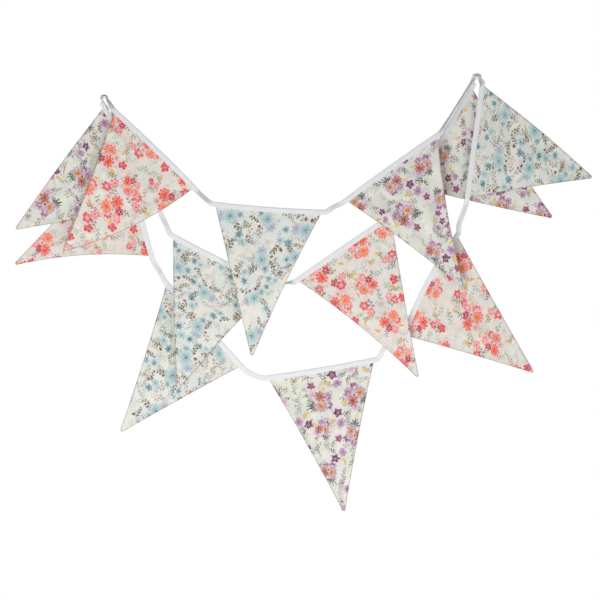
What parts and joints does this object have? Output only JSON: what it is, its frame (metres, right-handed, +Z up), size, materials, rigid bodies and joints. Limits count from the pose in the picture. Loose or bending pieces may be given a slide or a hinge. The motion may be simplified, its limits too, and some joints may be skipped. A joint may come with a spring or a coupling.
{
  "type": "fabric bunting",
  "caption": "String of floral cotton pennants sewn into a folded white tape, draped back and forth in swags over two pegs as a wall decoration.",
  "frame": {"origin": "middle of the tape's loop at the left peg", "axes": "+X to the right along the bunting, +Y to the back through the layers, +Z up; the front faces -Y"},
  "size_m": [0.9538, 0.0375, 0.7223],
  "materials": {
    "tape": "matte",
    "coral_print": "matte",
    "blue_print": "matte",
    "purple_print": "matte"
  },
  "bodies": {
    "root": {"bunting_tape": "tape", "pennant_coral_3": "coral_print", "pennant_blue_3": "blue_print", "pennant_purple_4": "purple_print", "pennant_coral_4": "coral_print", "pennant_blue_4": "blue_print", "pennant_purple_2": "purple_print", "pennant_coral_2": "coral_print", "pennant_blue_2": "blue_print", "pennant_purple_3": "purple_print", "pennant_coral_1": "coral_print", "pennant_blue_1": "blue_print", "pennant_purple_1": "purple_print"}
  },
  "joints": []
}
